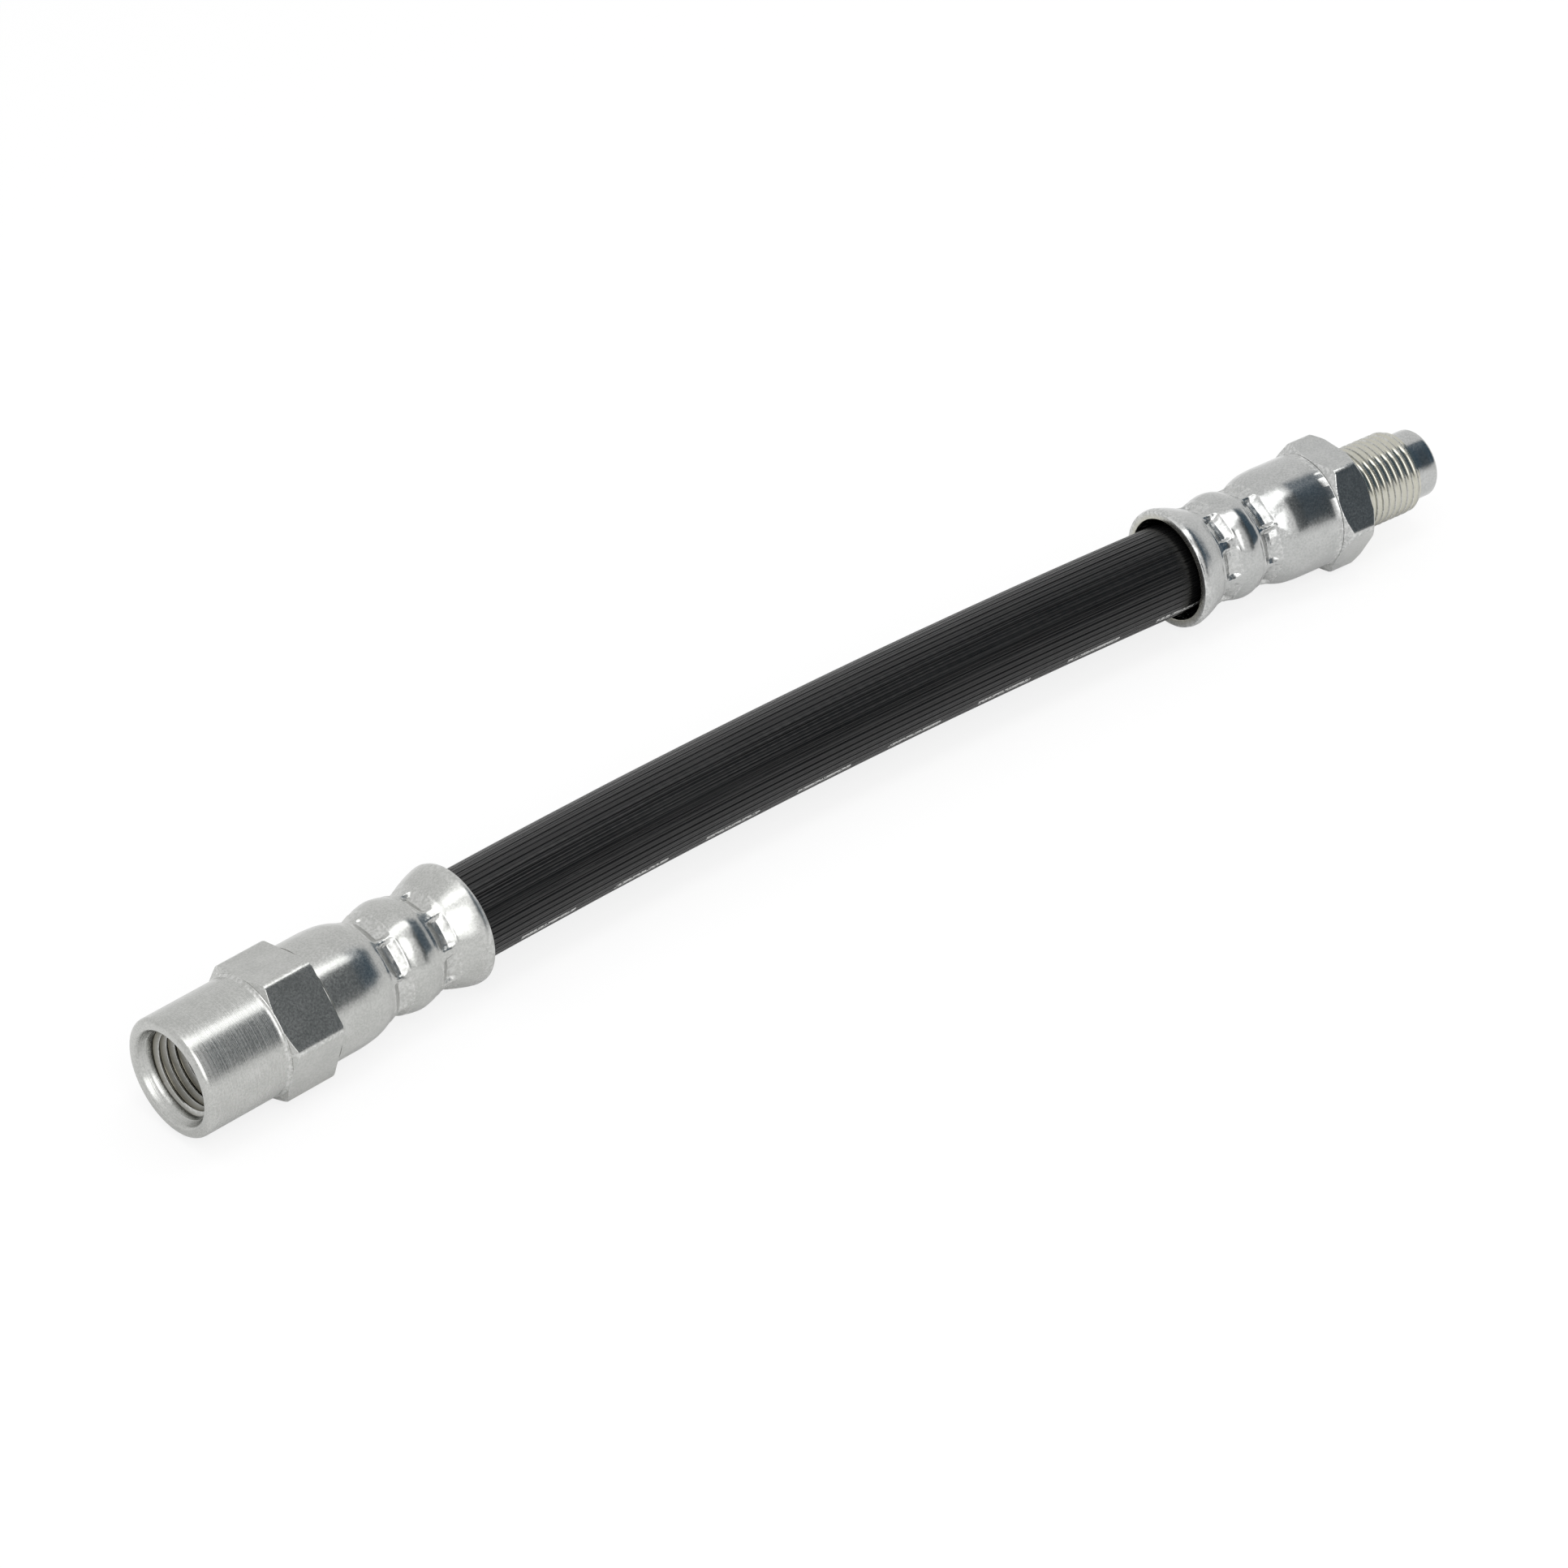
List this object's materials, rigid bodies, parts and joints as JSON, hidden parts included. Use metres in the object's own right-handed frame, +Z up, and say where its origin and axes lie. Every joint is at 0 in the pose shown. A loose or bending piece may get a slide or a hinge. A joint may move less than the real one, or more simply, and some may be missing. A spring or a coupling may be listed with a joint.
{
  "type": "hydraulic hose assembly",
  "caption": "Ribbed rubber hydraulic hose with crimped steel ends: a hexagon body with a threaded socket in a round nose, and a hexagon body with a threaded stud and plain pilot.",
  "frame": {"origin": "centre of the part's bounding box, on the surface that the part lies on", "axes": "+X along the socket end's axis, from the socket towards the stud; +Z up from the surface; the hose bends slightly towards -Y"},
  "size_m": [0.1768, 0.0248, 0.015],
  "materials": {
    "zinc_plated_steel": "satin bright zinc plating with fine grain",
    "insert_steel": "turned steel",
    "liner_rubber": "smooth black rubber",
    "braid_yarn": "braided textile yarn",
    "cover_rubber": "matt black rubber with fine lengthwise ribs"
  },
  "bodies": {
    "female_end": {"female_fitting": "zinc_plated_steel", "female_insert": "insert_steel", "inner_tube": "liner_rubber", "inner_braid": "braid_yarn", "cushion_layer": "liner_rubber", "outer_braid": "braid_yarn", "outer_cover": "cover_rubber"},
    "male_end": {"male_fitting": "zinc_plated_steel", "male_insert": "insert_steel"}
  },
  "joints": [
    {"name": "hose_flex", "type": "hinge", "parent": "female_end", "child": "male_end", "pos_m": [0.00021, 0.00308, 0.00751], "axis": [0, 0, 1], "range_deg": [-45, 45], "stiffness_Nm_per_rad": 0.3, "deforming": ["inner_tube", "inner_braid", "cushion_layer", "outer_braid", "outer_cover"]}
  ]
}
